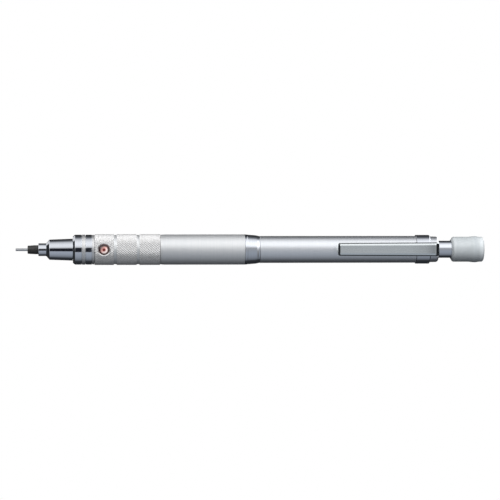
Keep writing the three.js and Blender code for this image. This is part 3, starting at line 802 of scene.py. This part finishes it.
CLIP_REAR = [
    (127.7, 6.4, 0.75, 1.0, 4.22, 0), (128.3, 6.4, 0.73, 1.0, 4.24, -8),
    (128.4, 6.375, 0.72, 1.0, 4.24, -14), (128.5, 6.32, 0.7, 1.0, 4.24, -20),
    (128.6, 6.25, 0.68, 1.0, 4.24, -26), (128.98, 5.98, 0.62, 0.95, 4.24, -36),
    (129.35, 5.71, 0.54, 0.85, 4.22, -48), (129.5, 5.5, 0.48, 0.75, 4.2, -60),
    (129.58, 5.2, 0.42, 0.65, 4.17, -72), (129.6, 4.8, 0.38, 0.55, 4.14, -84),
    (129.6, 4.2, 0.34, 0.5, 4.1, -90), (129.6, 3.5, 0.34, 0.5, 4.1, -90),
    (129.6, 2.91, 0.34, 0.5, 4.1, -90), (129.57, 2.85, 0.3, 0.5, 4.0, -90),
]


def clip_section(width, thickness, bevel):
    """Half of the strap's section from the middle outwards: (sideways, depth below the outer face)."""
    flat = CLIP_FLAT * width / 2
    deep = thickness - CLIP_UNDER
    corners = [
        Vector((flat, 0.0)),
        Vector((width / 2 - CLIP_EDGE, deep * CLIP_BEVEL * bevel)),
        Vector((width / 2, deep * bevel)),
        Vector((width / 2, thickness)),
    ]
    points = [(0.0, 0.0)]
    for i, corner in enumerate(corners):
        before = corners[i - 1] if i else Vector((0.0, 0.0))
        after = corners[i + 1] if i < 3 else Vector((0.0, thickness))
        for target, steps in ((before, (2, 1)), (after, (1, 2))):
            side = target - corner
            reach = min(CLIP_SUPPORT, side.length / 6)
            points += [tuple(corner + side.normalized() * reach * step) for step in steps]
    points.append((0.0, thickness))
    return points


def build_clip():
    """The strap, with both ends bent down: the front to the barrel, the rear into a tab."""
    path = CLIP_FRONT + CLIP_STRAP + CLIP_REAR
    x0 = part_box("clip")[1].x - max(point[0] for point in path) * MM
    bm = bmesh.new()
    rings = []
    for station, height, thickness, bevel, width, tilt in path:
        down = Vector((math.sin(math.radians(tilt)), 0, -math.cos(math.radians(tilt))))
        half = clip_section(width, thickness, bevel)
        section = half + [(-y, d) for y, d in reversed(half[1:-1])]
        ring = []
        for y, depth in section:
            ring.append(bm.verts.new((
                x0 + (station + down.x * depth) * MM, y * MM, AXIS_Z + (height + down.z * depth) * MM
            )))
        rings.append(ring)
    for a, b in zip(rings, rings[1:]):
        join_rings(bm, a, b)
    bm.faces.new(list(reversed(rings[0])))
    bm.faces.new(rings[-1])
    add_piece("clip_fine", closed_mesh(bm, "clip_fine"), "clip", "clip", 32)


build_clip()


# ---------------------------------------------------------------- cap, eraser and leads

def build_cap():
    """The frosted cap, with its steep mouth, soft bulge and slightly rounded end."""
    outer = [
        (133.75, 2.95, 0.04), (134.2, 3.65, 0.15), (134.5, 3.83, 0.2), (139.2, 3.83, 0.4), (140.3, 3.97, 0.3),
        (141.0, 4.02, 0.3), (141.7, 3.97, 0.3), (142.2, 3.85, 0.3), (143.3, 3.81, 0.2), (143.6, 3.5, 0.2),
        (143.6, 0.0),
    ]
    inner = [(133.75, 2.75, 0.05), (142.7, 2.75, 0.3), (142.7, 0.0)]
    turned("push_cap_fine", "push_cap", "cap", outer, inner, 128)


ERASER = {"length": 9.6, "r": 2.25}


def build_eraser():
    """A solid stick with rounded ends."""
    length, radius = ERASER["length"], ERASER["r"]
    loop = support(soften([(0.0, 0.0), (0.0, radius, 0.3), (length, radius, 0.45), (length, 0.0)]))
    add_piece("eraser_fine", ring_mesh("eraser_fine", loop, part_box("eraser")[0].x, 64), "eraser", "eraser")


LEAD_R = 0.28
SPARE_LEAD_ASIDE = 0.95


def build_lead(node, body, offset):
    """A stick of lead, a little worn at its front end."""
    low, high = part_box(node)
    length = (high.x - low.x) / MM
    loop = soften([(0.0, 0.0), (0.0, LEAD_R, 0.08), (length, LEAD_R, 0.03), (length, 0.0)])
    mesh = ring_mesh(node + "_fine", support(loop), low.x, 32)
    for vertex in mesh.vertices:
        vertex.co.y += offset * MM
    add_piece(node + "_fine", mesh, node, body)


build_cap()
build_eraser()
build_lead("lead", "lead", 0.0)
build_lead("spare_lead_1", "button", SPARE_LEAD_ASIDE)
build_lead("spare_lead_2", "button", -SPARE_LEAD_ASIDE)


# ---------------------------------------------------------------- springs and inner parts

# name: (joint that shortens it, travel, coil radius, wire radius, turns, end that stays: 0 front, 1 rear)
SPRINGS = {
    "chuck_spring": ("button_press", 3.3, 1.9, 0.25, 6, 0),
    "cushion_spring": ("writing_cushion", 0.3, 2.4, 0.22, 4, 1),
}


def build_spring(node, coil_r, wire_r, turns):
    """A round-wire coil on the barrel."""
    low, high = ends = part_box(node)
    start, end = low.x + wire_r * MM, high.x - wire_r * MM
    steps, sides = turns * 28, 12
    bm = bmesh.new()
    rings = []
    for i in range(steps + 1):
        share = i / steps
        angle = share * turns * 2 * math.pi
        radial = Vector((0, math.cos(angle), math.sin(angle)))
        along = Vector((1, 0, 0))
        centre = Vector((start + (end - start) * share, 0, AXIS_Z)) + radial * coil_r * MM
        rings.append([
            bm.verts.new(centre + (radial * math.cos(a) + along * math.sin(a)) * wire_r * MM)
            for a in (2 * math.pi * k / sides for k in range(sides))
        ])
    for a, b in zip(rings, rings[1:]):
        join_rings(bm, a, b)
    bm.faces.new(rings[0])
    bm.faces.new(rings[-1])
    piece = add_piece(node + "_fine", closed_mesh(bm, node + "_fine"), node, "barrel", 60)
    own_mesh(piece)


def build_inner_sleeve():
    """The white inner tube, with the sight hole under the window left to the rotor's colour."""
    outer = [(19.1, 3.55, 0.15), (24.2, 3.55), (24.2, 3.7), (63.95, 3.7, 0.1)]
    inner = [(19.1, 3.0, 0.1), (37.1, 3.0), (37.1, 1.35), (38.1, 1.35), (38.1, 3.0), (63.95, 3.0)]
    turned("inner_sleeve_fine", "inner_sleeve", "barrel", outer, inner, 96)


def dress_inner_nodes():
    """The toothed rings, the rotor and the chuck keep their CAD shapes and get finished materials."""
    for node in ("front_cam_ring", "rear_cam_ring", "rotor", "chuck"):
        piece = frame["nodes"][node]
        piece.data.materials.clear()
        piece.data.materials.append(MATERIALS[SLOT_OF[node]])


for spring, (joint, travel, coil_r, wire_r, turns, still) in SPRINGS.items():
    build_spring(spring, coil_r, wire_r, turns)
build_inner_sleeve()
dress_inner_nodes()


# ---------------------------------------------------------------- stage, light and camera

# The studio by the angle from straight up towards +Y: (degrees, brightness, coolness). A surface that faces
# across the pencil reflects ACROSS. One that leans along the pencil reflects TO_FRONT or TO_REAR.
ACROSS = [
    (-180, 0.03, 1), (-112, 0.03, 1), (-99, 0.05, 1), (-88, 0.17, 1), (-68, 0.3, 1), (-49, 0.38, 1),
    (-30, 0.43, 1), (-8, 0.42, 0.7), (8, 0.4, 0.3), (13, 0.48, 0.3), (19, 0.78, 0.2), (26, 1.12, 0.2),
    (36, 1.3, 0.2), (54, 1.3, 0.2), (67, 1.16, 0.2), (87, 0.8, 0.3), (99, 0.36, 0.5), (108, 0.16, 0.6),
    (124, 0.07, 0.6), (140, 0.035, 0.6), (180, 0.03, 0.6),
]
TO_FRONT = [
    (-180, 0.02, 0.3), (-100, 0.04, 0.3), (-85, 0.07, 0.3), (-60, 0.18, 0.3), (-15, 0.5, 0.2), (4, 1.1, 0.1),
    (18, 1.6, 0.1), (35, 2.0, 0.1), (60, 1.8, 0.1), (75, 1.3, 0.1), (95, 0.9, 0.1), (120, 0.8, 0.1),
    (165, 0.7, 0.1), (180, 0.05, 0.1),
]
TO_REAR = [
    (-180, 0.02, 0.3), (-100, 0.04, 0.3), (-85, 0.06, 0.3), (-60, 0.13, 0.3), (-15, 0.32, 0.2), (4, 0.6, 0.1),
    (18, 1.1, 0.1), (35, 1.7, 0.1), (60, 2.1, 0.1), (75, 2.2, 0.1), (120, 2.2, 0.1), (168, 2.2, 0.1),
    (180, 0.05, 0.1),
]
STUDIO_PEAK = 2.2
STUDIO_END = (0.022, 0.024, 0.027)  # the dark at both ends of the studio

# Where the parts of the studio fade into each other, by the direction's share along the pencil.
MIDDLE_FRONT, MIDDLE_REAR = (-0.38, -0.26), (0.5, 0.38)
END_FRONT, END_REAR = (-0.72, -0.82), (0.72, 0.82)
FRONT_TO_REAR = (-0.15, 0.15)

# How much of ACROSS is seen towards the front and towards the rear: on the +Y side, and on the other.
SHARE_SPAN = (-0.1, 0.25)
UPPER_SHARES = (0.7, 0.97)
LOWER_SHARES = (1.05, 0.9)


class WorldNodes:
    """Short ways to wire the nodes of the studio."""

    def __init__(self):
        world = bpy.data.worlds.new("studio")
        bpy.context.scene.world = world
        world.use_nodes = True
        self.tree = world.node_tree
        self.tree.nodes.clear()

    def node(self, kind, **settings):
        made = self.tree.nodes.new(kind)
        for key, value in settings.items():
            setattr(made, key, value)
        return made

    def link(self, source, target):
        self.tree.links.new(source, target)

    def ramp(self, factor, table):
        """One table of the studio as a colour ramp."""
        made = self.node("ShaderNodeValToRGB")
        elements = made.color_ramp.elements
        while len(elements) < len(table):
            elements.new(0.5)
        for element, (degrees, value, cool) in zip(elements, table):
            element.position = (degrees + 180) / 360
            level = value / STUDIO_PEAK
            element.color = (level * (1 - 0.2 * cool), level * (1 - 0.12 * cool), level, 1)
        self.link(factor, made.inputs["Fac"])
        return made.outputs["Color"]

    def step(self, value, start, end, low=0.0, high=1.0):
        """Low at start, high at end, smooth between."""
        made = self.node("ShaderNodeMapRange", interpolation_type="SMOOTHSTEP")
        made.inputs["From Min"].default_value = start
        made.inputs["From Max"].default_value = end
        made.inputs["To Min"].default_value = low
        made.inputs["To Max"].default_value = high
        self.link(value, made.inputs["Value"])
        return made.outputs["Result"]

    def math(self, operation, first, second):
        made = self.node("ShaderNodeMath", operation=operation)
        self.link(first, made.inputs[0])
        self.link(second, made.inputs[1])
        return made.outputs["Value"]

    def dim(self, color, share):
        """A colour times a number."""
        made = self.node("ShaderNodeVectorMath", operation="SCALE")
        self.link(color, made.inputs[0])
        self.link(share, made.inputs["Scale"])
        return made.outputs["Vector"]

    def mix(self, factor, first, second):
        made = self.node("ShaderNodeMix", data_type="RGBA")
        self.link(factor, made.inputs[0])
        for socket, value in ((made.inputs[6], first), (made.inputs[7], second)):
            if isinstance(value, tuple):
                socket.default_value = (*value, 1)
            else:
                self.link(value, socket)
        return made.outputs[2]


def build_world():
    """White for the camera. In reflections: bright on the +Y side, grey on the other, dark at both ends."""
    w = WorldNodes()
    place = w.node("ShaderNodeTexCoord")
    split = w.node("ShaderNodeSeparateXYZ")
    w.link(place.outputs["Generated"], split.inputs["Vector"])
    along = split.outputs["X"]
    angle = w.math("ARCTAN2", split.outputs["Y"], split.outputs["Z"])
    share = w.node("ShaderNodeMapRange")
    share.inputs["From Min"].default_value = -math.pi
    share.inputs["From Max"].default_value = math.pi
    w.link(angle, share.inputs["Value"])
    upper = w.step(along, *SHARE_SPAN, *UPPER_SHARES)
    lower = w.step(along, *SHARE_SPAN, *LOWER_SHARES)
    side = w.node("ShaderNodeMix", data_type="FLOAT")
    w.link(w.step(split.outputs["Y"], -0.1, 0.1), side.inputs[0])
    w.link(lower, side.inputs[2])
    w.link(upper, side.inputs[3])
    across = w.dim(w.ramp(share.outputs["Result"], ACROSS), side.outputs[0])
    to_front = w.ramp(share.outputs["Result"], TO_FRONT)
    to_rear = w.ramp(share.outputs["Result"], TO_REAR)
    lengthwise = w.mix(w.step(along, *FRONT_TO_REAR), to_front, to_rear)
    middle = w.math("MULTIPLY", w.step(along, *MIDDLE_FRONT), w.step(along, *MIDDLE_REAR))
    ends = w.math("ADD", w.step(along, *END_FRONT), w.step(along, *END_REAR))
    end_color = tuple(value / STUDIO_PEAK for value in STUDIO_END)
    shaded = w.mix(ends, w.mix(middle, lengthwise, across), end_color)

    seen = w.node("ShaderNodeBackground")
    seen.inputs["Color"].default_value = (1.0, 1.0, 1.0, 1)
    lit = w.node("ShaderNodeBackground")
    lit.inputs["Strength"].default_value = STUDIO_PEAK
    w.link(shaded, lit.inputs["Color"])
    path = w.node("ShaderNodeLightPath")
    mix = w.node("ShaderNodeMixShader")
    w.link(path.outputs["Is Camera Ray"], mix.inputs["Fac"])
    w.link(lit.outputs["Background"], mix.inputs[1])
    w.link(seen.outputs["Background"], mix.inputs[2])
    output = w.node("ShaderNodeOutputWorld")
    w.link(mix.outputs["Shader"], output.inputs["Surface"])


# The card's height over the axis, its two sides, and how far it reaches past the tip and the front ring.
CARD = {"height": 60, "sides": (-19.5, 14), "ahead": 20, "behind": 0.2}


def build_card():
    """A black card over the nose. Only reflections see it, as a dark line along the polished parts."""
    height = AXIS_Z + CARD["height"] * MM
    front = CAD_LO.x - CARD["ahead"] * MM
    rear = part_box("front_ring")[1].x + CARD["behind"] * MM
    left, right = (side * MM for side in CARD["sides"])
    mesh = bpy.data.meshes.new("black_card")
    corners = [(front, left), (rear, left), (rear, right), (front, right)]
    mesh.from_pydata([(x, y, height) for x, y in corners], [], [(0, 1, 2, 3)])
    card = put("black_card", mesh)
    material = bpy.data.materials.new("black_card")
    material.use_nodes = True
    bsdf = material.node_tree.nodes["Principled BSDF"]
    bsdf.inputs["Base Color"].default_value = (0.01, 0.01, 0.012, 1)
    bsdf.inputs["Roughness"].default_value = 0.9
    bsdf.inputs["Specular IOR Level"].default_value = 0.0
    bsdf.inputs["Emission Color"].default_value = (0.012, 0.013, 0.018, 1)
    bsdf.inputs["Emission Strength"].default_value = 1.0
    mesh.materials.append(material)
    card.visible_camera = False
    card.visible_diffuse = False
    card.visible_transmission = False


# In metres, watts and degrees from straight up.
SOFT_BOX = {"size": (0.5, 0.25), "energy": 2.1, "lean": 48, "away": 0.5, "x": 0.02}


def build_soft_box():
    """Lights the plastic parts from behind and above. Metal doesn't reflect it."""
    data = bpy.data.lights.new("soft_box", "AREA")
    data.shape = "RECTANGLE"
    data.size, data.size_y = SOFT_BOX["size"]
    data.energy = SOFT_BOX["energy"]
    lamp = put("soft_box", data)
    lean, away = math.radians(SOFT_BOX["lean"]), SOFT_BOX["away"]
    lamp.location = (SOFT_BOX["x"], away * math.sin(lean), AXIS_Z + away * math.cos(lean))
    lamp.rotation_euler = (-lean, 0, 0)
    lamp.visible_camera = False
    lamp.visible_glossy = False
    lamp.visible_transmission = False


def build_floor():
    """A pale table top. It is seen by the camera, and stays out of the reflections."""
    bm = bmesh.new()
    bmesh.ops.create_grid(bm, x_segments=1, y_segments=1, size=3.0)
    mesh = bpy.data.meshes.new("table_top")
    bm.to_mesh(mesh)
    bm.free()
    floor = put("table_top", mesh)
    floor.location.z = -0.2 * MM
    material = bpy.data.materials.new("pale_table")
    material.use_nodes = True
    bsdf = material.node_tree.nodes["Principled BSDF"]
    bsdf.inputs["Base Color"].default_value = (0.0, 0.0, 0.0, 1)
    bsdf.inputs["Specular IOR Level"].default_value = 0.0
    bsdf.inputs["Emission Color"].default_value = (1, 1, 1, 1)
    bsdf.inputs["Emission Strength"].default_value = 1.0
    mesh.materials.append(material)
    floor.visible_glossy = False
    floor.visible_diffuse = False
    floor.visible_transmission = False


# The camera's station is in millimetres, its height and sideways offset in metres, its roll in radians.
CAMERA = {"station": 16.5, "height": 0.72, "aside": -0.0001, "roll": -0.0011}
# The width of the view and its middle's offset from the pencil's, as shares of the pencil's length.
VIEW = {"width": 1.07085, "offset": 0.0019}


def build_camera():
    """Looks straight down from over the nose. A shifted lens keeps the whole pencil in the frame."""
    data = bpy.data.cameras.new("camera")
    camera = put("camera", data)
    length = CAD_HI.x - CAD_LO.x
    frame_width = length * VIEW["width"]
    middle = (CAD_LO.x + CAD_HI.x) / 2 + length * VIEW["offset"]
    over = CAD_LO.x + CAMERA["station"] * MM
    data.sensor_width = 36
    data.lens = data.sensor_width * CAMERA["height"] / frame_width
    data.shift_x = (middle - over) / frame_width
    camera.location = (over, CAMERA["aside"], AXIS_Z + CAMERA["height"])
    camera.rotation_euler.z = CAMERA["roll"]
    data.clip_start, data.clip_end = 0.01, 10
    bpy.context.scene.camera = camera
    bpy.context.scene.view_settings.view_transform = "Standard"


build_world()
build_floor()
build_card()
build_soft_box()
build_camera()
